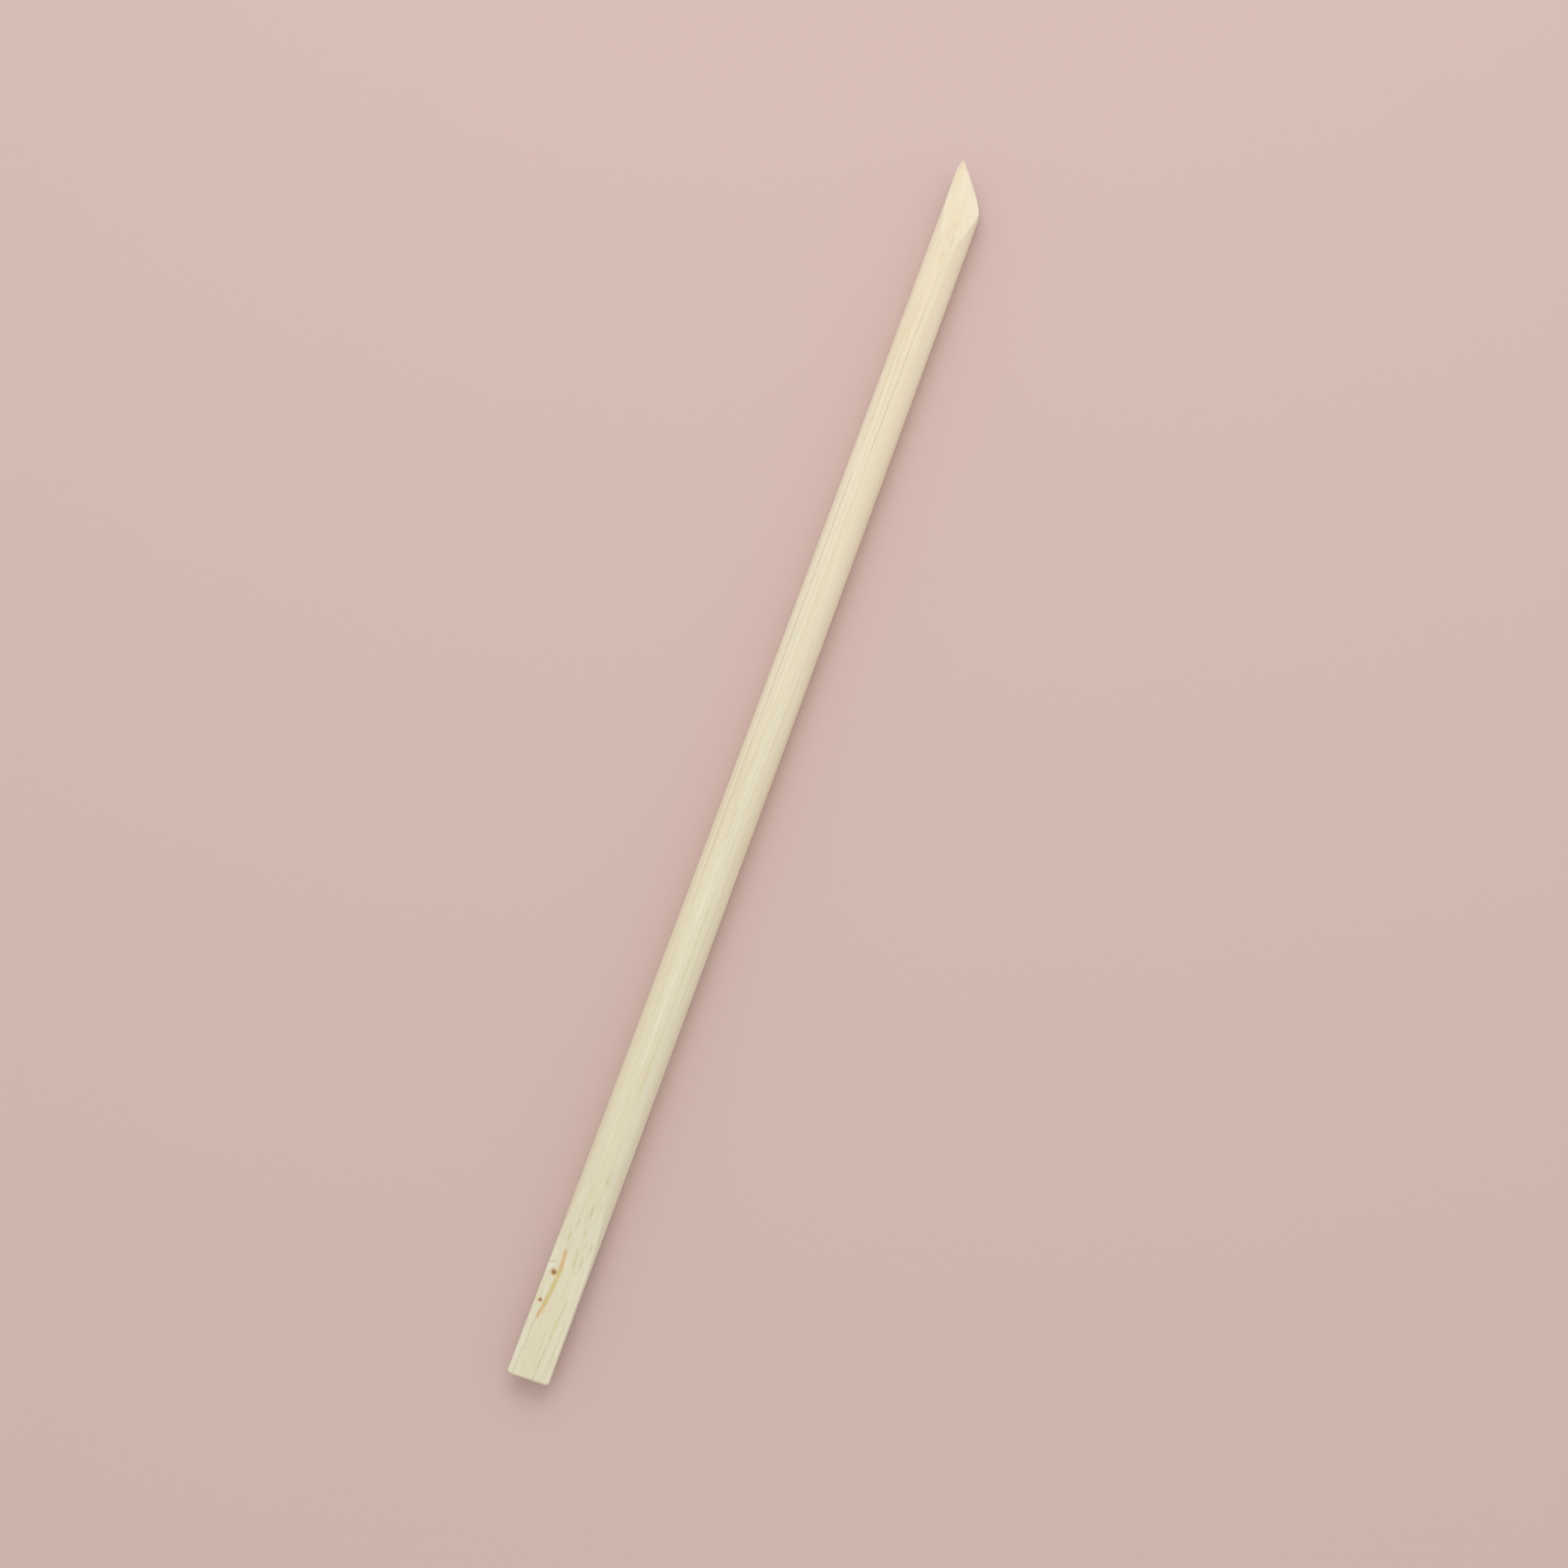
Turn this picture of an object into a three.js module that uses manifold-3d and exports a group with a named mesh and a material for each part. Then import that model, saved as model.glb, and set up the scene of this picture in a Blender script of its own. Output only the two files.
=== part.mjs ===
// Bamboo stick: one straight-grained sliver of bamboo, milled round, with a flat blade at each end.
// Millimetres, +Z up. The stick lies along Y on a narrow flat of its belly, square end at -Y,
// pointed end at +Y, and its box stands centred on the origin.

import * as THREE from 'three';
import { mergeVertices } from 'three/addons/utils/BufferGeometryUtils.js';
import Module from 'manifold-3d';

const wasm = await Module();
wasm.setup();

// The rod
const LENGTH = 152;
const DIAMETER = 4.45;
const BELLY_FLAT = 1.6; // width of the flat that the stick lies on
const ROD_SIDES = 60;

// Both blades are milled from above and from below, alike. A depth is measured inwards from the
// round surface, and a distance back from the end of the stick.
const SQUARE_BLADE = {
  heel: 23.2, // where the cutter enters the round
  shoulder: 13.1, // where the slope runs out into the flat blade
  shoulderDepth: 1.38,
  endDepth: 1.87,
  entry: [18.3, 0.27], // handles of the slope's curve: distance and depth
  exit: [16.0, 1.27],
  roll: 0 // turn of the blade about the stick's own line, in degrees
};
const POINTED_BLADE = {
  heel: 14.7,
  shoulder: 6.0,
  shoulderDepth: 1.52,
  endDepth: 1.8,
  entry: [9.4, 0.15],
  exit: [7.6, 1.4],
  roll: 6
};
const SLOPE_STEPS = 14;

// The outline of both ends from above
const CORNER_RADIUS = 0.4; // at the square end
const TIP_OFFSET = 1.83; // how far left of the stick's line the point is
const SLANT_LENGTH = 7.3; // how far back the slanting cut begins, on the right
// Handles of the slanting cut's curve: distance in from the right edge, and back from the tip
const SLANT_START = [0.08, 5.6];
const SLANT_END = [1.83, 3.3];
const TIP_EASING = 3.2; // over this length the left edge eases in to the point
const OUTLINE_STEPS = 12;

const CLEARANCE = 1; // how far a cutter stands out past the stick
const COLOUR = 0xe6dabe;

const radius = DIAMETER / 2;
const halfLength = LENGTH / 2;

// Turns a three.js geometry into a closed solid that can be cut.
function solidOf(geometry) {
  geometry.deleteAttribute('normal');
  geometry.deleteAttribute('uv');
  const merged = mergeVertices(geometry);
  return new wasm.Manifold(new wasm.Mesh({
    numProp: 3,
    vertProperties: merged.getAttribute('position').array,
    triVerts: Uint32Array.from(merged.getIndex().array)
  }));
}

function geometryOf(solid) {
  const { vertProperties, triVerts } = solid.getMesh();
  const geometry = new THREE.BufferGeometry();
  geometry.setAttribute('position', new THREE.BufferAttribute(vertProperties, 3));
  geometry.setIndex(new THREE.BufferAttribute(triVerts, 1));
  geometry.computeVertexNormals();
  return geometry;
}

// The stick before its ends are milled: a round section with a flat along its belly, drawn out
// along Y.
function rod() {
  const flatAngle = Math.asin(BELLY_FLAT / DIAMETER);
  const section = new THREE.Shape();
  section.absarc(0, 0, radius, -Math.PI / 2 + flatAngle, 1.5 * Math.PI - flatAngle, false);
  const geometry = new THREE.ExtrudeGeometry(section, {
    depth: LENGTH,
    curveSegments: ROD_SIDES,
    bevelEnabled: false
  });
  geometry.rotateX(Math.PI / 2).translate(0, halfLength, 0);
  return solidOf(geometry);
}

// What the cutter takes off one face of a blade. endSide is -1 for the square end and 1 for the
// pointed end, and faceSide is 1 for the top face and -1 for the underside.
function bladeCut(blade, endSide, faceSide) {
  const outside = radius + CLEARANCE;
  const profile = new THREE.Shape();
  profile.moveTo(-CLEARANCE, outside);
  profile.lineTo(-CLEARANCE, radius - blade.endDepth);
  profile.lineTo(0, radius - blade.endDepth);
  profile.lineTo(blade.shoulder, radius - blade.shoulderDepth);
  profile.bezierCurveTo(
    blade.exit[0], radius - blade.exit[1],
    blade.entry[0], radius - blade.entry[1],
    blade.heel, radius
  );
  profile.lineTo(blade.heel, outside);
  const geometry = new THREE.ExtrudeGeometry(profile, {
    depth: 2 * outside,
    curveSegments: SLOPE_STEPS,
    bevelEnabled: false
  });
  geometry.translate(0, 0, -outside);
  const inwards = new THREE.Vector3(0, -endSide, 0);
  const outwards = new THREE.Vector3(0, 0, faceSide);
  const across = inwards.clone().cross(outwards);
  geometry.applyMatrix4(new THREE.Matrix4().makeBasis(inwards, outwards, across));
  geometry.rotateY(THREE.MathUtils.degToRad(blade.roll));
  geometry.translate(0, endSide * halfLength, 0);
  return solidOf(geometry);
}

// Everything inside the outline of the stick from above: the square end with its rounded corners,
// and the slanting cut from the right edge to the point on the left.
function planOutline() {
  const outside = radius + CLEARANCE;
  const corner = radius - CORNER_RADIUS;
  const cornerTop = CORNER_RADIUS - halfLength;
  const slantStart = halfLength - SLANT_LENGTH;
  const outline = new THREE.Shape();
  outline.moveTo(-outside, cornerTop);
  outline.lineTo(-radius, cornerTop);
  outline.absarc(-corner, cornerTop, CORNER_RADIUS, Math.PI, 1.5 * Math.PI, false);
  outline.absarc(corner, cornerTop, CORNER_RADIUS, -Math.PI / 2, 0, false);
  outline.lineTo(outside, cornerTop);
  outline.lineTo(outside, slantStart);
  outline.lineTo(radius, slantStart);
  outline.bezierCurveTo(
    radius - SLANT_START[0], halfLength - SLANT_START[1],
    radius - SLANT_END[0], halfLength - SLANT_END[1],
    -TIP_OFFSET, halfLength
  );
  outline.quadraticCurveTo(
    -radius, halfLength - TIP_EASING / 2,
    -radius, halfLength - TIP_EASING
  );
  outline.lineTo(-outside, halfLength - TIP_EASING);
  const geometry = new THREE.ExtrudeGeometry(outline, {
    depth: 2 * outside,
    curveSegments: OUTLINE_STEPS,
    bevelEnabled: false
  });
  geometry.translate(0, 0, -outside);
  return solidOf(geometry);
}

function bambooStick() {
  let stick = rod().intersect(planOutline());
  for (const faceSide of [1, -1]) {
    stick = stick.subtract(bladeCut(SQUARE_BLADE, -1, faceSide));
    stick = stick.subtract(bladeCut(POINTED_BLADE, 1, faceSide));
  }
  const geometry = geometryOf(stick);
  geometry.computeBoundingBox();
  geometry.translate(0, 0, -geometry.boundingBox.min.z);
  const material = new THREE.MeshStandardMaterial({ color: COLOUR, roughness: 0.62, metalness: 0 });
  const mesh = new THREE.Mesh(geometry, material);
  mesh.name = 'bamboo_stick';
  return mesh;
}

const part = new THREE.Group();
part.add(bambooStick());

export default part;
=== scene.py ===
import math
from functools import lru_cache
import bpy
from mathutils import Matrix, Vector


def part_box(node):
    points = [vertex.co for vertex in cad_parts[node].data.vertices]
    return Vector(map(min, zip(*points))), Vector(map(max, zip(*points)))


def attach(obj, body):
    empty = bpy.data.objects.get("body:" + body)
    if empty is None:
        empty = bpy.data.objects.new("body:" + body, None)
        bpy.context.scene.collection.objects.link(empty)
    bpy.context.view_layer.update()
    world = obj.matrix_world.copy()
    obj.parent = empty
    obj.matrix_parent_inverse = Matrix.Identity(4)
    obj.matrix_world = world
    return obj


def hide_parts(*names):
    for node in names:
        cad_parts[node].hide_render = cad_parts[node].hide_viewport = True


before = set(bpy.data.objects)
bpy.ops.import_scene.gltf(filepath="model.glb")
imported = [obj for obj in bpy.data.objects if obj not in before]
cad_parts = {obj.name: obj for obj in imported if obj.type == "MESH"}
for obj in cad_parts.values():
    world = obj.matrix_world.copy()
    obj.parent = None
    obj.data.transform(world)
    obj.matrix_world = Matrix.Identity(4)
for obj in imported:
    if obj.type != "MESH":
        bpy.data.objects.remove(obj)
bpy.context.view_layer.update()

from types import SimpleNamespace

import bmesh
import bpy
from mathutils import Matrix, Vector, noise
from mathutils.geometry import interpolate_bezier

# The bamboo stick
# One straight-grained sliver of bamboo, milled to a thin round rod and then flat from above and
# from below at each end, into a blade cut off square and a blade cut off slanting to a point.
# Sizes are in millimetres, and a distance is measured back from the nearer end of the stick.

MILLIMETRE = 0.001
_, high = (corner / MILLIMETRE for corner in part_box("bamboo_stick"))
HALF_LENGTH = high.y
RADIUS = high.x
AXIS_HEIGHT = high.z - RADIUS

SQUARE_BLADE = {
    "heel": (23.2, 0.0),  # distance and depth under the round, where the cutter enters
    "entry": (18.3, 0.27),  # handles of the slope's curve
    "exit": (16.0, 1.27),
    "shoulder": (13.1, 1.38),  # where the slope runs out into the flat blade
    "end": (0.0, 1.87),
}
POINTED_BLADE = {
    "heel": (14.7, 0.0),
    "entry": (9.4, 0.15),
    "exit": (7.6, 1.4),
    "shoulder": (6.0, 1.52),
    "end": (0.0, 1.8),
}
POINTED_BLADE_ROLL = math.radians(6)  # turn of the pointed blade about the stick's own line
ROLL_FADE = 6.0  # over this length the columns of the mesh turn back to upright

CORNER_RADIUS = 0.4  # of the square end, seen from above
TIP_OFFSET = 1.83  # how far left of the stick's line the point is
SLANT_LENGTH = 7.3  # how far back the slanting cut begins, on the right
SLANT_START = (0.08, 5.6)  # handles of that cut: in from the right edge, and back from the tip
SLANT_END = (1.83, 3.3)
TIP_EASING = 3.2  # over this length the left edge eases in to the point
TIP_ROUND = 0.16  # radius of the blunted point
TIP_HALF_ANGLE = math.radians(24)
TIP_LOSS = TIP_ROUND * (1 / math.sin(TIP_HALF_ANGLE) - 1)  # how much shorter that makes the stick
WAIST = 0.05  # how much narrower the square blade is on each side, at its middle
WAIST_CENTRE = 10.5
WAIST_REACH = 6.5
CURVE_POINTS = 64  # along each curve

SIDEWAYS_BOW = 0.12  # how far the middle stands to the right of the ends
EDGE_ROUND = 0.1  # on the long edges of the blades
END_ROUND = 0.09  # round the rim of the square end

COLUMNS = 144
LIP = math.radians(60)  # the columns within this of straight up or down make the faces
NARROWEST = math.radians(30)  # the face columns never draw in closer than this
SPREAD_FADE = 7.0  # over this length past a heel they spread out again
RIM_PITCH, BLADE_PITCH, BODY_PITCH = 0.02, 0.13, 0.45  # how far apart the rings stand
RIM_REACH, BLADE_REACH = 0.14, 24.0
TURN_SLACK = 1e-6  # for what is lost where a turn is stored


def smooth_step(value, start, end):
    share = min(max((value - start) / (end - start), 0.0), 1.0)
    return share * share * (3 - 2 * share)


def curve_points(start, handle_a, handle_b, end):
    """Points along a curve, as pairs that rise with the first number."""
    corners = [Vector((*point, 0)) for point in (start, handle_a, handle_b, end)]
    return [(point.x, point.y) for point in interpolate_bezier(*corners, CURVE_POINTS)]


def read_off(points, distance):
    """The second number at a distance, along a list of pairs that rise with the first."""
    for (near, a), (far, b) in zip(points, points[1:]):
        if distance <= far:
            return a + (b - a) * max(distance - near, 0) / (far - near)
    return points[-1][1]


def blade_profile(blade):
    slope = curve_points(blade["shoulder"], blade["exit"], blade["entry"], blade["heel"])
    return [blade["end"], *slope]


SQUARE_PROFILE = blade_profile(SQUARE_BLADE)
POINTED_PROFILE = blade_profile(POINTED_BLADE)
SLANT = curve_points(
    (0.0, -TIP_OFFSET),
    (SLANT_END[1], RADIUS - SLANT_END[0]),
    (SLANT_START[1], RADIUS - SLANT_START[0]),
    (SLANT_LENGTH, RADIUS),
)


def sideways(y):
    """How far the stick's own line stands to the right at y, because split bamboo bows."""
    return SIDEWAYS_BOW * (0.5 - (y / HALF_LENGTH) ** 2)


@lru_cache(maxsize=None)
def section(y):
    """The stick's cross-section at y: its round, its two faces and its outline from above."""
    near, far = y + HALF_LENGTH, HALF_LENGTH - y
    depth = max(read_off(SQUARE_PROFILE, near), read_off(POINTED_PROFILE, far))
    inset = 0.0
    left = right = RADIUS + EDGE_ROUND
    if near < END_ROUND:
        inset = END_ROUND - math.sqrt(END_ROUND**2 - (END_ROUND - near) ** 2)
    if near < CORNER_RADIUS:
        eased = math.sqrt(CORNER_RADIUS**2 - (CORNER_RADIUS - near) ** 2)
        left = right = RADIUS - CORNER_RADIUS + eased
    waist = WAIST * (1 - smooth_step(abs(near - WAIST_CENTRE), 0, WAIST_REACH))
    if waist > 0:
        left = right = min(left, RADIUS - waist)
    if far < SLANT_LENGTH:
        right = read_off(SLANT, far)
        left = RADIUS - (RADIUS - TIP_OFFSET) * max(1 - far / TIP_EASING, 0) ** 2
        middle, half = (right - left) / 2, (right + left) / 2
        from_tip = max(far - TIP_LOSS, 0)
        if from_tip < TIP_ROUND * (1 - math.sin(TIP_HALF_ANGLE)):
            half = math.sqrt(TIP_ROUND**2 - (TIP_ROUND - from_tip) ** 2)
        left, right = half - middle, half + middle
    radius = RADIUS - inset
    face = radius if depth == 0 else RADIUS - depth - inset
    spread = math.acos(face / radius)
    past = min(near - SQUARE_BLADE["heel"][0], far - POINTED_BLADE["heel"][0])
    relaxed = NARROWEST + (LIP - NARROWEST) * smooth_step(past, 0, SPREAD_FADE)
    roll_end = POINTED_BLADE["heel"][0]
    return SimpleNamespace(
        radius=radius,
        face=face,
        spread=max(spread, relaxed),
        left=-(left - inset),
        right=right - inset,
        roll=POINTED_BLADE_ROLL * (1 - smooth_step(far, roll_end, roll_end + ROLL_FADE)),
        rounding=EDGE_ROUND * smooth_step(spread, NARROWEST, LIP),
    )


def surface_point(turn, y):
    """Where the column at that turn from straight up meets the surface at y, and how near it is to
    a milled edge, from 0 to 1."""
    cut = section(y)
    lean, upright = math.sin(cut.roll), math.cos(cut.roll)

    def limit(side, z):
        bulge = math.sqrt(max(cut.radius**2 - z * z, 0))
        if side > 0:
            return min(bulge, (cut.right - z * lean) / upright)
        return max(-bulge, (cut.left - z * lean) / upright)

    lip_height = cut.radius * math.cos(cut.spread)
    facing = 1 if abs(turn) <= math.pi / 2 else -1
    from_face = turn if facing > 0 else math.copysign(math.pi, turn) - turn
    if abs(from_face) <= LIP + TURN_SLACK:
        share = from_face / LIP
        share = (share + math.sin(share * cut.spread) / math.sin(cut.spread)) / 2
        first, last = limit(-1, facing * lip_height), limit(1, facing * lip_height)
        x = (first + last) / 2 + share * (last - first) / 2
        z = facing * min(cut.face, math.sqrt(max(cut.radius**2 - x * x, 0)))
    else:
        share = (abs(turn) - LIP) / (math.pi - 2 * LIP)
        z = lip_height * (1 - 2 * share)
        x = limit(math.copysign(1, turn), z)
    edge = 0.0
    if cut.rounding > 0:
        side = 1 if x * 2 > cut.left + cut.right else -1
        from_side = max(cut.rounding - abs(limit(side, z) - x), 0)
        from_top = max(cut.rounding - (cut.face - abs(z)), 0)
        reach = math.hypot(from_side, from_top)
        if reach > cut.rounding:
            pull = 1 - cut.rounding / reach
            x -= side * pull * from_side
            z -= math.copysign(pull * from_top, z)
        edge = min(from_side, from_top) / cut.rounding
    across = x * upright + z * lean + sideways(y)
    height = z * upright - x * lean
    return Vector((across, y, max(AXIS_HEIGHT + height, 0))), edge


# The marks that the cutter laid bare on the upper side, together with painted light: each ridge is
# a painted highlight, each seam's darker colour is painted shade in its shallow groove, and the
# ledge is a painted shadow along the step of the torn lip.
# Each has half its width, how deep it lies, and the places that it runs through: distance from the
# square end, and across from the stick's own line.
MARKS = {
    "resin": (
        (0.22, 0.008, [(13.4, -0.80), (12.1, -0.70), (11.4, -0.69)]),
        (0.24, 0.012, [(7.9, -1.01), (7.6, -1.06), (6.4, -1.25)]),
    ),
    "old resin": (
        (0.30, 0.014, [(11.5, -0.69), (10.8, -0.69), (8.7, -0.90), (7.8, -1.03)]),
    ),
    "pit": (
        (0.27, 0.05, [(11.18, -1.20), (11.08, -1.20)]),
        (0.18, 0.04, [(8.04, -1.57), (7.98, -1.57)]),
    ),
    # A painted shadow: a dark line along the step at the top of the torn lip
    "ledge": (
        (0.08, 0.010, [(12.27, -1.33), (11.98, -2.15)]),
    ),
    "pit edge": (
        (0.42, 0.0, [(11.16, -1.27), (11.06, -1.27)]),
        (0.28, 0.0, [(8.03, -1.59), (7.97, -1.59)]),
    ),
    "dark fibre": (
        (0.08, 0.012, [(6.4, -1.25), (5.4, -1.45), (2.9, -1.43), (2.5, -1.56), (0.2, -1.62)]),
        (0.11, 0.012, [(2.6, -1.58), (2.4, -1.56)]),
        (0.07, 0.008, [(8.7, 1.12), (7.7, 1.05), (6.4, 0.90)]),
        (0.09, 0.012, [(5.2, 0.78), (3.3, 0.68), (1.7, 0.60), (0.2, 0.55)]),
    ),
    "olive": (
        (0.18, 0.012, [(6.7, 0.95), (6.0, 0.87), (5.1, 0.76)]),
        (0.22, 0.010, [(11.7, 0.95), (11.6, 0.86)]),
        (0.18, 0.006, [(20.7, -0.32), (19.6, -0.36)]),
        (0.10, 0.004, [(56.5, 0.84), (48.0, 0.84), (41.0, 0.83)]),
        (0.15, 0.006, [(38.5, 0.83), (33.4, 0.75), (30.0, 0.68)]),
        (0.14, 0.000, [(134.0, -1.02), (122.0, -1.15), (108.0, -1.10)]),
    ),
    "cut bundle": (
        (0.12, 0.012, [(22.2, 0.90), (21.2, 0.84)]),
        (0.14, 0.012, [(18.8, 0.45), (17.5, 0.38)]),
        (0.14, 0.012, [(17.0, -0.54), (16.0, -0.60)]),
        (0.13, 0.010, [(15.5, -0.94), (14.9, -1.00)]),
        (0.12, 0.008, [(16.1, 0.50), (15.4, 0.46)]),
        (0.15, 0.012, [(14.8, 1.62), (13.9, 1.52)]),
        (0.19, 0.014, [(14.0, 0.32), (12.9, 0.42), (12.3, 0.50)]),
        (0.15, 0.012, [(13.4, 1.10), (12.2, 1.16)]),
        (0.11, 0.008, [(19.6, 1.30), (18.6, 1.24)]),
    ),
    "faint bundle": (
        (0.13, 0.006, [(145.9, 0.20), (144.9, 0.16)]),
        (0.14, 0.006, [(143.2, 0.35), (141.9, 0.30)]),
        (0.15, 0.006, [(140.6, 0.55), (139.3, 0.50)]),
        (0.15, 0.006, [(138.4, 0.00), (136.8, -0.05)]),
    ),
    # Shallow grooves between the fibres, whose darker colour is painted shade standing for the
    # shade in each groove, beside a painted ridge highlight
    "shaded seam": (
        (0.09, 0.020, [(134.9, 0.36), (122.2, 0.22), (107.3, 0.02)]),
        (0.10, 0.020, [(111.0, -1.12), (92.0, -1.17), (70.0, -1.21), (54.0, -1.19)]),
        (0.08, 0.012, [(67.0, 0.00), (58.0, -0.06)]),
        (0.07, 0.006, [(136.0, -0.62), (120.0, -0.70)]),
    ),
    # Painted highlights: pale lines where light catches the fibre ridges, and a pale patch where it
    # catches the torn lip
    "ridge highlight": (
        (0.09, 0.0, [(134.9, 0.50), (122.2, 0.36), (106.0, 0.16)]),
        (0.10, 0.0, [(111.0, -1.36), (92.0, -1.41), (70.0, -1.43), (50.0, -1.41)]),
        (0.19, 0.0, [(62.0, 0.15), (57.5, 0.12), (49.0, 0.08)]),
        (0.12, 0.0, [(49.0, 0.08), (41.0, -0.01), (31.0, -0.03)]),
        (0.26, 0.0, [(11.75, -1.80), (11.35, -1.95)]),
    ),
}
# What each kind looks like: the layer it lies in, its shade on screen, and how strongly it covers
MARK_LOOKS = {
    # A ridge's pale shade is a painted highlight
    "ridge highlight": ("upper", (246, 236, 217), 0.60),
    "olive": ("stain_and_painted_shade", (222, 206, 154), 0.55),
    # A seam's darker shade is painted shade in its groove
    "shaded seam": ("stain_and_painted_shade", (206, 188, 150), 0.50),
    "cut bundle": ("stain_and_painted_shade", (206, 190, 142), 0.62),
    "faint bundle": ("stain_and_painted_shade", (216, 200, 158), 0.50),
    "dark fibre": ("stain_and_painted_shade", (204, 184, 138), 0.60),
    "resin": ("stain_and_painted_shade", (218, 172, 110), 0.80),
    "old resin": ("stain_and_painted_shade", (214, 190, 116), 0.80),
    # The ledge's dark shade is a painted shadow along that step
    "ledge": ("upper", (194, 180, 148), 0.70),
    "pit edge": ("stain_and_painted_shade", (226, 172, 96), 0.70),
    "pit": ("upper", (140, 88, 40), 0.95),
}
# The first layer holds the real stains and the painted shade of the seams. The second holds the
# painted highlights, the painted shadow at the ledge and the dark pits.
MARK_LAYERS = ("stain_and_painted_shade", "upper")  # the second covers the first
JOINED_UP = ("resin", "old resin", "dark fibre")  # these run into each other and don't fade out
TAPER_SHARE, LONGEST_TAPER = 0.3, 6.0  # the others fade in and out over this much of their length
# Distances from a mark's line, in halves of its width
MARK_REACH = 3.5  # it is felt this far off
MARK_RIM = (0.3, 1.3)  # where it begins to end, and where it has ended
SHADE_RIM = (1.5, 2.7)  # the same for the shade that the mesh carries, which is wider
# The wood that the cutter tore up at the left edge: it rises away from the square end, to a ledge
TORN_LIP = SimpleNamespace(near=11.4, far=12.06, inner=-1.3, height=0.03)
GRAIN_RELIEF = 0.012
GRAIN_WIDTH, GRAIN_LENGTH = 0.32, 14.0
# How fast the finer waves of the grain fall off, how much finer each is, and how many there are
GRAIN_FALL, GRAIN_FINER, GRAIN_WAVES = 1.0, 2.0, 3


def colour(shade):
    """A shade from 0 to 255 on screen as the renderer's own linear colour."""
    parts = [part / 255 for part in shade]
    linear = [p / 12.92 if p < 0.04045 else ((p + 0.055) / 1.055) ** 2.4 for p in parts]
    return (*linear, 1.0)


def mark_list():
    """Every mark as a line of points in the stick's own plan, with its size and its look."""
    marks = []
    for kind, drawn in MARKS.items():
        layer, shade, strength = MARK_LOOKS[kind]
        for half_width, deep, places in drawn:
            points = [
                Vector((across + sideways(along - HALF_LENGTH), along - HALF_LENGTH))
                for along, across in places
            ]
            first, last = points[-1].y, points[0].y
            margin = MARK_REACH * half_width
            taper = 0 if kind in JOINED_UP else min(TAPER_SHARE * (last - first), LONGEST_TAPER)
            marks.append(SimpleNamespace(
                points=points, half_width=half_width, deep=deep, layer=layer,
                shade=colour(shade)[:3], strength=strength, taper=taper + margin,
                round=last - first < half_width, first=first - margin, last=last + margin,
            ))
    return marks


def offset_from(place, points):
    """How far a place lies from a line of points, and to which side of it."""
    away, side = math.inf, 0
    for start, end in zip(points, points[1:]):
        run, reach = end - start, place - start
        share = min(max(reach.dot(run) / run.length_squared, 0), 1)
        gap = (reach - run * share).length
        if gap < away:
            away, side = gap, reach.cross(run) / run.length
    return away, side


def marks_at(point):
    """The marks round a point of the upper side: each with how far off it lies and to which side,
    in halves of its own width."""
    if point.z < AXIS_HEIGHT:
        return []
    place, found = Vector((point.x, point.y)), []
    for mark in marks:
        if mark.first < point.y < mark.last:
            away, side = offset_from(place, mark.points)
            if away < MARK_REACH * mark.half_width:
                found.append((away / mark.half_width, side / mark.half_width, mark))
    return found


def carved_depth(point, found):
    """How far under the milled surface the wood lies at a point, between fibres and in marks."""
    grain = Vector((point.x / GRAIN_WIDTH, point.y / GRAIN_LENGTH, point.z / GRAIN_WIDTH))
    rise = noise.fractal(grain, GRAIN_FALL, GRAIN_FINER, GRAIN_WAVES)
    depth = GRAIN_RELIEF * (0.5 + 0.5 * rise)
    for away, _, mark in found:
        depth += mark.deep * (1 - smooth_step(away, *MARK_RIM))
    along = point.y + HALF_LENGTH
    torn = TORN_LIP.near < along < TORN_LIP.far and point.x < TORN_LIP.inner
    if torn and point.z > AXIS_HEIGHT:
        depth -= TORN_LIP.height * (along - TORN_LIP.near) / (TORN_LIP.far - TORN_LIP.near)
    return depth


marks = mark_list()

# The rod starts as a ring that is drawn out in five lengths, which are then cut into finer rings:
# close together on the blades and at the rims, and further apart between them
mesh = bmesh.new()
turn_of = mesh.verts.layers.float.new("turn")
edge_of = mesh.verts.layers.float.new("edge")
offset_of = {layer: mesh.verts.layers.float.new(layer + "_offset") for layer in MARK_LAYERS}
shade_of = {layer: mesh.verts.layers.float_color.new(layer + "_shade") for layer in MARK_LAYERS}
tip_end = HALF_LENGTH - TIP_LOSS - RIM_PITCH / 4
upright = Matrix.Translation((0, -HALF_LENGTH, 0)) @ Matrix.Rotation(math.radians(90), 4, "X")
bmesh.ops.create_circle(mesh, segments=COLUMNS, radius=RADIUS, matrix=upright)
first_ring = ring = mesh.edges[:]
stops = [
    (RIM_REACH - HALF_LENGTH, RIM_PITCH),
    (BLADE_REACH - HALF_LENGTH, BLADE_PITCH),
    (tip_end - BLADE_REACH, BODY_PITCH),
    (tip_end - RIM_REACH, BLADE_PITCH),
    (tip_end, RIM_PITCH),
]
start, lengths = -HALF_LENGTH, []
for end, pitch in stops:
    grown = bmesh.ops.extrude_edge_only(mesh, edges=ring)["geom"]
    new_verts = [item for item in grown if isinstance(item, bmesh.types.BMVert)]
    bmesh.ops.translate(mesh, verts=new_verts, vec=(0, end - start, 0))
    edges = {edge for vert in new_verts for edge in vert.link_edges}
    ring = [edge for edge in edges if edge.is_boundary]
    lengths.append(([edge for edge in edges if not edge.is_boundary], round((end - start) / pitch)))
    start = end
last_ring = ring
for edges, parts in lengths:
    bmesh.ops.subdivide_edges(mesh, edges=edges, cuts=parts - 1, use_grid_fill=True)
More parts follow.
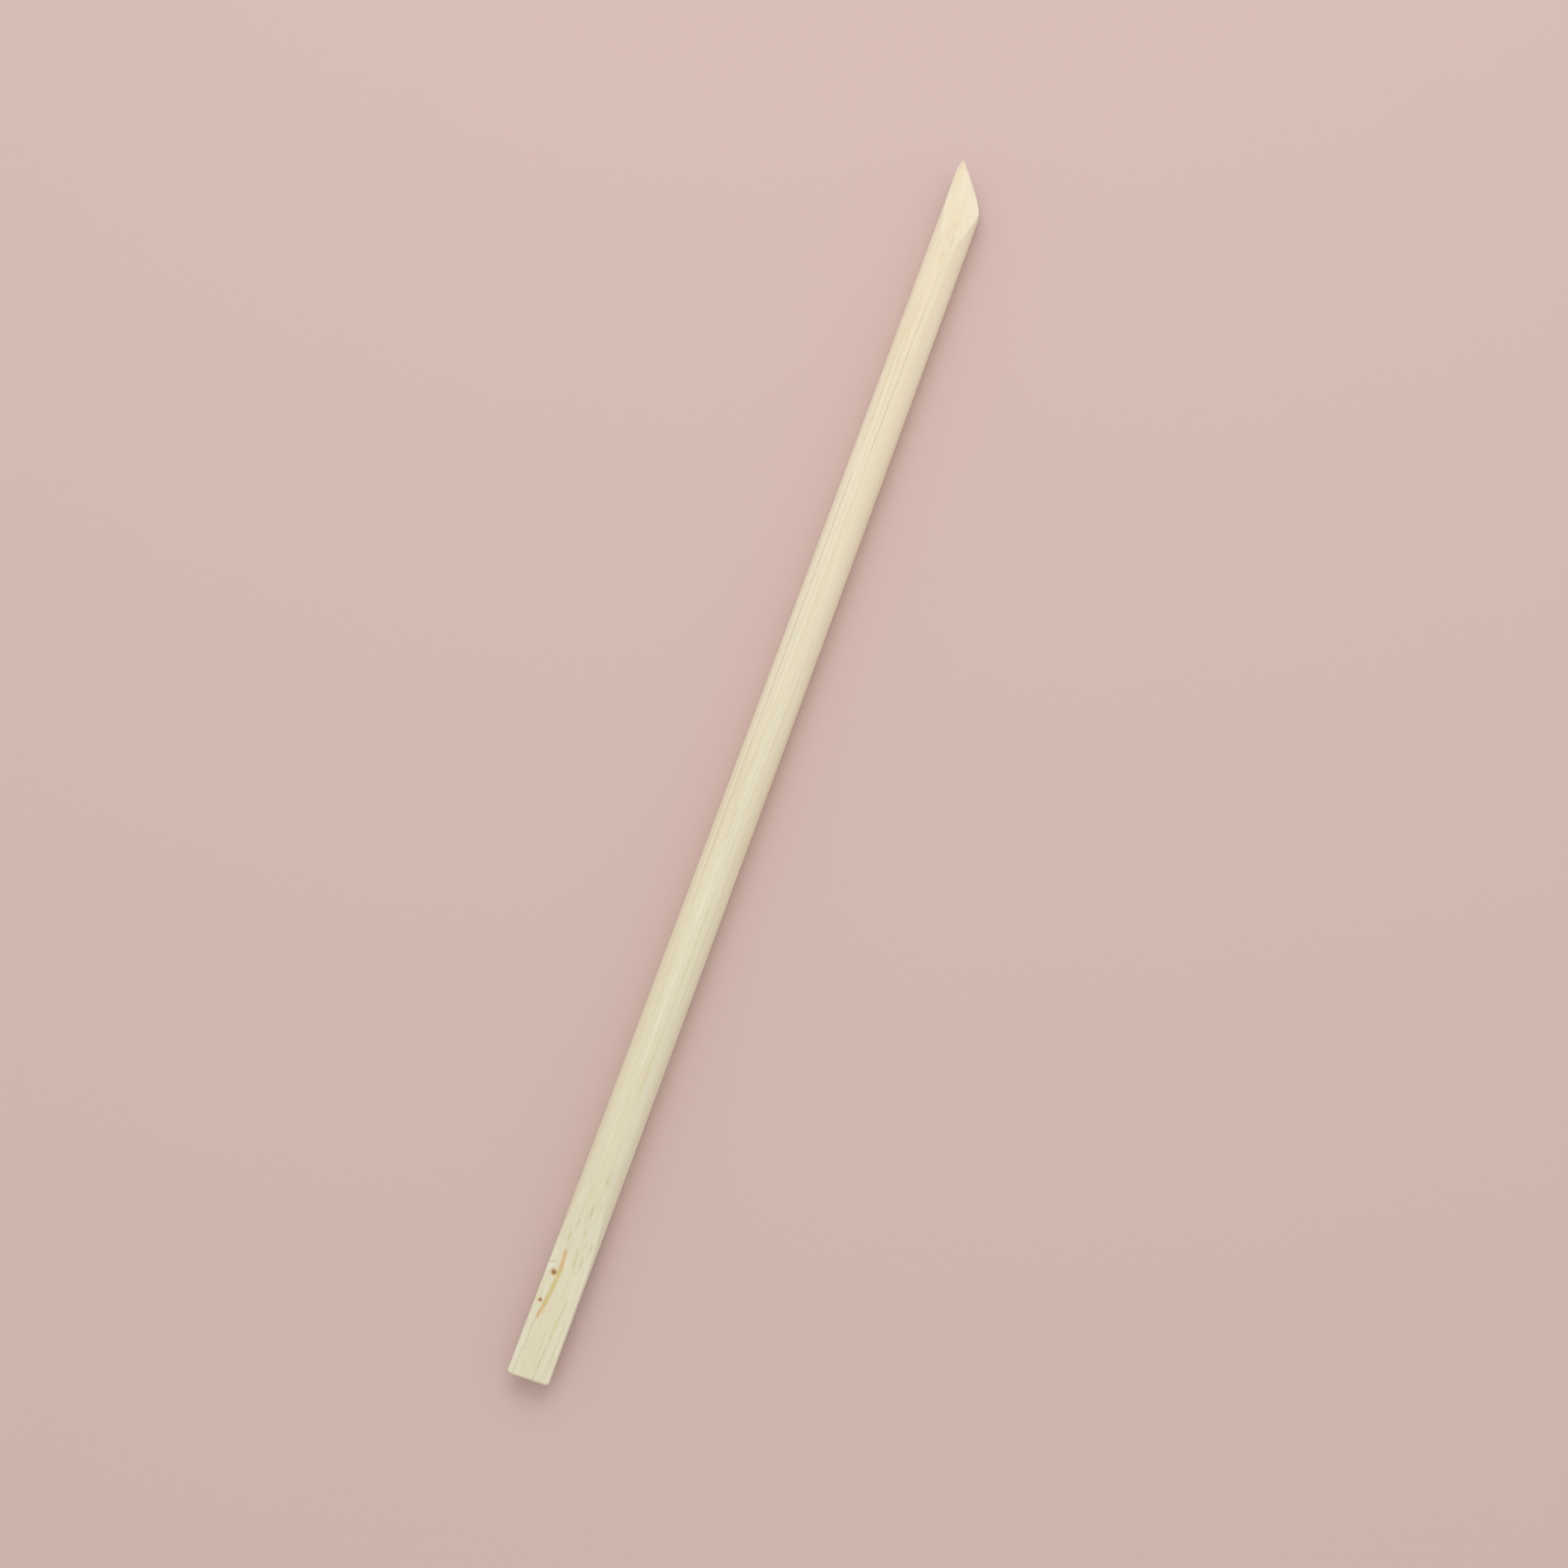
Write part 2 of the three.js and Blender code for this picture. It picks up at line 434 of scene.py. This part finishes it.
for vert in mesh.verts:
    turn = math.atan2(vert.co.x, vert.co.z)
    vert[turn_of] = turn
    vert.co, vert[edge_of] = surface_point(turn, vert.co.y)


RAIL_SLACK = 0.01


def face_rails(edges):
    """The edges of an end ring that lie in the upper or the lower face."""
    rails = []
    for edge in edges:
        turns = [abs(vert[turn_of]) for vert in edge.verts]
        if max(turns) < LIP + RAIL_SLACK or min(turns) > math.pi - LIP - RAIL_SLACK:
            rails.append(edge)
    return rails


# Both ends are closed with a grid that runs from the upper face to the lower one
sawn = set()
for end_ring in (first_ring, last_ring):
    filled = bmesh.ops.grid_fill(mesh, edges=face_rails(end_ring), use_interp_simple=True)
    sawn.update(filled["faces"])
bmesh.ops.recalc_face_normals(mesh, faces=mesh.faces)

# The surface is laid out flat in three lengths, side by side, with the sawn ends beside them
BANDS = 3
BAND_LENGTH = 2 * HALF_LENGTH / BANDS
BAND_GAP = 0.8
BAND_WIDTH = 2 * math.pi * RADIUS + BAND_GAP
MARGIN = 0.5
SHEET = BAND_LENGTH + 2 * MARGIN
laid_out = mesh.loops.layers.uv.new("OFBake")
for face in mesh.faces:
    face.smooth = True
    centre = face.calc_center_median()
    band = min(int((centre.y + HALF_LENGTH) / BAND_LENGTH), BANDS - 1)
    turns = [vert[turn_of] for vert in face.verts]
    nearest = min(turns, key=abs)
    for loop, turn in zip(face.loops, turns):
        spot = loop.vert.co
        if face in sawn:
            across = BANDS * BAND_WIDTH + MARGIN + RADIUS + spot.x
            along = SHEET / 2 + math.copysign(2 * RADIUS, centre.y) + spot.z - AXIS_HEIGHT
        else:
            if abs(turn - nearest) > math.pi:
                turn -= math.copysign(2 * math.pi, turn)
            across = MARGIN + (band + 0.5) * BAND_WIDTH + turn * RADIUS
            along = MARGIN + spot.y + HALF_LENGTH - band * BAND_LENGTH
        loop[laid_out].uv = (across / SHEET, along / SHEET)

# The wood is carved inwards a little, between its fibres and where the cutter tore it, and each
# point learns the nearest mark's shade, how strongly it covers, and which side of it the point is
mesh.normal_update()
carving = []
for vert in mesh.verts:
    found = marks_at(vert.co)
    carving.append((vert, vert.normal * carved_depth(vert.co, found)))
    for layer in MARK_LAYERS:
        side, shade = MARK_REACH, (0, 0, 0, 0)
        near = [item for item in found if item[2].layer == layer]
        if near:
            away, side, mark = min(near, key=lambda item: item[0])
            side = away if mark.round else side
            from_end = min(vert.co.y - mark.first, mark.last - vert.co.y)
            cover = mark.strength * (1 - smooth_step(away, *SHADE_RIM))
            shade = (*mark.shade, cover * smooth_step(from_end, 0, mark.taper))
        vert[offset_of[layer]] = side
        vert[shade_of[layer]] = shade
for vert, inwards in carving:
    vert.co -= inwards
bmesh.ops.scale(mesh, verts=mesh.verts, vec=(MILLIMETRE,) * 3)
stick_mesh = bpy.data.meshes.new("bamboo_stick_wood")
mesh.to_mesh(stick_mesh)
mesh.free()
stick = bpy.data.objects.new("bamboo_stick_wood", stick_mesh)
bpy.context.scene.collection.objects.link(stick)

# The wood's colours, as they look on screen in even light
CREAM = (243, 231, 206)
HONEY = (242, 226, 194)
BUNDLE = (222, 205, 165)
FIBRE = (204, 186, 150)
PORE = (190, 170, 132)
CRUSHED = (247, 239, 224)  # the fibres pressed flat along a milled edge
GREENER = (245, 252, 250)  # what the wood's colour is multiplied with at the square end
DOWNY = (255, 246, 232)  # the sheen of the downy ends of cut fibres


def node(tree, kind, sockets=None, **settings):
    """A new node with its options set, and each socket given a value or a link."""
    made = tree.nodes.new(kind)
    for name, value in settings.items():
        setattr(made, name, value)
    for socket, value in (sockets or {}).items():
        if isinstance(value, bpy.types.NodeSocket):
            tree.links.new(value, made.inputs[socket])
        else:
            made.inputs[socket].default_value = value
    return made


def maths(tree, operation, a, b=0.0, c=0.0):
    return node(tree, "ShaderNodeMath", {0: a, 1: b, 2: c}, operation=operation).outputs[0]


def vectors(tree, operation, a, b):
    made = node(tree, "ShaderNodeVectorMath", {0: a, 1: b}, operation=operation)
    return made.outputs["Vector"]


def blend(tree, share, base, over, way="MIX"):
    """One colour over another. A colour is a shade on screen or another node's output."""
    made = tree.nodes.new("ShaderNodeMix")
    made.data_type, made.blend_type = "RGBA", way
    for socket, value in ((0, share), (6, base), (7, over)):
        if isinstance(value, bpy.types.NodeSocket):
            tree.links.new(value, made.inputs[socket])
        else:
            made.inputs[socket].default_value = value if socket == 0 else colour(value)
    return made.outputs[2]


def between(tree, value, low, high, to_low=0.0, to_high=1.0):
    """A value drawn out softly from one range to another."""
    sockets = {"Value": value, 1: low, 2: high, 3: to_low, 4: to_high}
    made = node(tree, "ShaderNodeMapRange", sockets, interpolation_type="SMOOTHSTEP")
    return made.outputs["Result"]


bamboo = bpy.data.materials.new("bamboo")
bamboo.use_nodes = True
tree = bamboo.node_tree
in_metres = node(tree, "ShaderNodeTexCoord").outputs["Object"]
spot = vectors(tree, "MULTIPLY", in_metres, (1 / MILLIMETRE,) * 3)
y = node(tree, "ShaderNodeSeparateXYZ", {0: spot}).outputs["Y"]


def drift(place, detail, reach):
    """A push to either side of a place, by up to half the reach each way."""
    sockets = {"Vector": place, "Scale": 1.0, "Detail": detail}
    shades = node(tree, "ShaderNodeTexNoise", sockets).outputs["Color"]
    red, green, blue = node(tree, "ShaderNodeSeparateColor", {0: shades}).outputs
    pushes = node(tree, "ShaderNodeCombineXYZ", {0: red, 1: green, 2: blue}).outputs[0]
    return vectors(tree, "MULTIPLY", vectors(tree, "SUBTRACT", pushes, (0.5, 0.5, 0.5)), reach)


# Grain: the fibre bundles run along the stick, leaning a little and wandering
WANDER_LENGTH = 55.0
WANDER = 1.1
LEAN_ACROSS, LEAN_DOWN = 0.006, 0.004
BUNDLE_SPACING, BUNDLE_DISORDER = 0.52, 0.8
BUNDLE_RIM = (0.12, 0.36)  # in spacings from the middle of a bundle
WEAKEST_BUNDLE = 0.25
slow = node(tree, "ShaderNodeCombineXYZ", {1: maths(tree, "DIVIDE", y, WANDER_LENGTH)}).outputs[0]
wander = drift(slow, 1.0, (WANDER, 0, WANDER))
lean = node(tree, "ShaderNodeCombineXYZ", {
    0: maths(tree, "MULTIPLY", y, -LEAN_ACROSS), 2: maths(tree, "MULTIPLY", y, LEAN_DOWN),
}).outputs[0]
grain = vectors(tree, "ADD", vectors(tree, "ADD", spot, wander), lean)
grain_x, _, grain_z = node(tree, "ShaderNodeSeparateXYZ", {0: grain}).outputs
in_section = node(tree, "ShaderNodeCombineXYZ", {0: grain_x, 1: grain_z}).outputs[0]
bundles = node(tree, "ShaderNodeTexVoronoi", {
    "Vector": in_section, "Scale": 1 / BUNDLE_SPACING, "Randomness": BUNDLE_DISORDER,
}, voronoi_dimensions="2D")
bundle = between(tree, bundles.outputs["Distance"], *BUNDLE_RIM, 1.0, 0.0)
vigour = node(tree, "ShaderNodeSeparateColor", {0: bundles.outputs["Color"]}).outputs[0]
vigour = between(tree, vigour, 0.1, 1.0, WEAKEST_BUNDLE, 1.0)
bundle = maths(tree, "MULTIPLY", bundle, vigour)

STREAK_ROUGHNESS = 0.6


def streaks(width, length, detail):
    """Noise drawn out along the grain, with streaks of about that width and length."""
    drawn = vectors(tree, "MULTIPLY", grain, (1 / width, 1 / length, 1 / width))
    sockets = {"Vector": drawn, "Scale": 1.0, "Detail": detail, "Roughness": STREAK_ROUGHNESS}
    return node(tree, "ShaderNodeTexNoise", sockets).outputs["Fac"]


fibres = streaks(width=0.11, length=4.0, detail=3.0)
threads = streaks(width=0.28, length=22.0, detail=2.0)
tones = streaks(width=1.1, length=60.0, detail=1.0)
pores = streaks(width=0.05, length=0.5, detail=1.0)

# How strongly each of them shows over the plain wood
THREAD_SHOW, BUNDLE_SHOW, FIBRE_SHOW, PORE_SHOW = 0.28, 0.38, 0.12, 0.12
wood = blend(tree, between(tree, tones, 0.3, 0.7), CREAM, HONEY)
wood = blend(tree, between(tree, threads, 0.45, 0.75, 0.0, THREAD_SHOW), wood, BUNDLE)
wood = blend(tree, maths(tree, "MULTIPLY", bundle, BUNDLE_SHOW), wood, BUNDLE)
wood = blend(tree, between(tree, fibres, 0.35, 0.7, 0.0, FIBRE_SHOW), wood, FIBRE)
wood = blend(tree, between(tree, pores, 0.6, 0.8, 0.0, PORE_SHOW), wood, PORE)
# The wood grows a little darker and greener towards the square end
near_square_end = between(tree, y, -HALF_LENGTH, HALF_LENGTH, 1.0, 0.0)
wood = blend(tree, near_square_end, wood, GREENER, "MULTIPLY")

# The marks break up a little along their length, as the fibres round them do
RAGGEDNESS = 0.45  # in halves of a mark's width
FAINTEST = 0.35
ragged = between(tree, streaks(0.12, 1.0, 3.0), 0.2, 0.8, -RAGGEDNESS, RAGGEDNESS)
broken = between(tree, streaks(0.3, 1.6, 3.0), 0.32, 0.52, FAINTEST, 1.0)
covered = {}
# Each layer paints its marks' colours over the wood. These are the real stains and pits, and also
# painted light: highlights along the ridges, shade in the seams and a shadow along the ledge.
for layer in MARK_LAYERS:
    offset = node(tree, "ShaderNodeAttribute", attribute_name=layer + "_offset").outputs["Fac"]
    look = node(tree, "ShaderNodeAttribute", attribute_name=layer + "_shade").outputs
    away = maths(tree, "ABSOLUTE", maths(tree, "ADD", offset, ragged))
    within = between(tree, away, *MARK_RIM, 1.0, 0.0)
    cover = maths(tree, "MULTIPLY", within, look["Alpha"])
    covered[layer] = maths(tree, "MULTIPLY", cover, broken)
    wood = blend(tree, covered[layer], wood, look["Color"])

EDGE_SHOW = 0.5
worn = node(tree, "ShaderNodeAttribute", attribute_name="edge").outputs["Fac"]
wood = blend(tree, maths(tree, "MULTIPLY", worn, EDGE_SHOW), wood, CRUSHED)

# How high each stands in the finest relief, in which the stains and the seams with their painted
# shade lie lowest. The surface is satin, and duller where a fibre stands up.
FIBRE_HEIGHT, THREAD_HEIGHT, BUNDLE_HEIGHT, STAIN_SINK = 0.6, 0.5, 0.25, 0.6
BUMP_STRENGTH, BUMP_DEPTH = 0.6, 0.03 * MILLIMETRE
SATIN, DULL = 0.55, 0.72
relief = maths(tree, "MULTIPLY", fibres, FIBRE_HEIGHT)
relief = maths(tree, "MULTIPLY_ADD", threads, THREAD_HEIGHT, relief)
relief = maths(tree, "MULTIPLY_ADD", covered["stain_and_painted_shade"], -STAIN_SINK, relief)
relief = maths(tree, "MULTIPLY_ADD", bundle, BUNDLE_HEIGHT, relief)
bump = node(tree, "ShaderNodeBump", {
    "Strength": BUMP_STRENGTH, "Distance": BUMP_DEPTH, "Height": relief,
})
principled = tree.nodes["Principled BSDF"]
tree.links.new(wood, principled.inputs["Base Color"])
tree.links.new(bump.outputs["Normal"], principled.inputs["Normal"])
tree.links.new(between(tree, fibres, 0.3, 0.7, SATIN, DULL), principled.inputs["Roughness"])
principled.inputs["Specular IOR Level"].default_value = 0.35
principled.inputs["Sheen Weight"].default_value = 0.3
principled.inputs["Sheen Roughness"].default_value = 0.5
principled.inputs["Sheen Tint"].default_value = colour(DOWNY)
stick_mesh.materials.append(bamboo)

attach(stick, "root")
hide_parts("bamboo_stick")

# The floor
# A plain sheet of pale blush paper, laid flat under the stick. It is the setting alone, and no
# piece of the part.

FLOOR_DROP = 0.02 * MILLIMETRE  # clear of the stick's belly, so that the two don't flicker
FLOOR_REACH = 1.5  # in metres, to each side
BLUSH = (215, 189, 182)
sheet = bmesh.new()
bmesh.ops.create_grid(sheet, x_segments=1, y_segments=1, size=FLOOR_REACH)
bmesh.ops.translate(sheet, verts=sheet.verts, vec=(0, 0, -FLOOR_DROP))
floor_mesh = bpy.data.meshes.new("floor")
sheet.to_mesh(floor_mesh)
sheet.free()
floor = bpy.data.objects.new("floor", floor_mesh)
bpy.context.scene.collection.objects.link(floor)
paper = bpy.data.materials.new("paper")
paper.use_nodes = True
paper_shader = paper.node_tree.nodes["Principled BSDF"]
paper_shader.inputs["Base Color"].default_value = colour(BLUSH)
paper_shader.inputs["Roughness"].default_value = 0.9
paper_shader.inputs["Specular IOR Level"].default_value = 0.2
floor_mesh.materials.append(paper)

# The light
# A softbox close above the pointed end, turned towards the middle of the stick, and an even glow
# from the whole studio. Colours are shown as they are, without a film's own look.

SOFTBOX_PLACE = Vector((-0.05, 0.2, 0.3))  # in metres
SOFTBOX_SIZE = 0.3
SOFTBOX_WATTS = 0.36
GLOW = 0.77
softbox = bpy.data.lights.new("softbox", "AREA")
softbox.energy = SOFTBOX_WATTS
softbox.size = SOFTBOX_SIZE
softbox_object = bpy.data.objects.new("softbox", softbox)
softbox_object.location = SOFTBOX_PLACE
softbox_object.rotation_euler = (-SOFTBOX_PLACE).to_track_quat("-Z", "Y").to_euler()
bpy.context.scene.collection.objects.link(softbox_object)
studio = bpy.data.worlds.new("studio")
studio.use_nodes = True
studio.node_tree.nodes["Background"].inputs["Color"].default_value = (1, 1, 1, 1)
studio.node_tree.nodes["Background"].inputs["Strength"].default_value = GLOW
bpy.context.scene.world = studio
bpy.context.scene.view_settings.view_transform = "Standard"

# The camera
# It looks down steeply on the stick, which runs away to the upper right, and stands close enough
# for the far end to look a little thinner than the near one.

AZIMUTH, ELEVATION = math.radians(18.809), math.radians(68)
DISTANCE = 0.36924  # in metres
AIM = Vector((0.003326, -0.00493, 0))
FRAME_WIDTH = 36  # of the sensor, in millimetres
FOCAL_LENGTH = 77.24
NEAREST = 0.01  # nothing nearer than this is drawn, in metres
back = Vector((
    math.sin(AZIMUTH) * math.cos(ELEVATION),
    -math.cos(AZIMUTH) * math.cos(ELEVATION),
    math.sin(ELEVATION),
))
lens = bpy.data.cameras.new("camera")
lens.sensor_width = FRAME_WIDTH
lens.lens = FOCAL_LENGTH
lens.clip_start = NEAREST
camera = bpy.data.objects.new("camera", lens)
camera.location = AIM + back * DISTANCE
camera.rotation_euler = (-back).to_track_quat("-Z", "Y").to_euler()
bpy.context.scene.collection.objects.link(camera)
bpy.context.scene.camera = camera
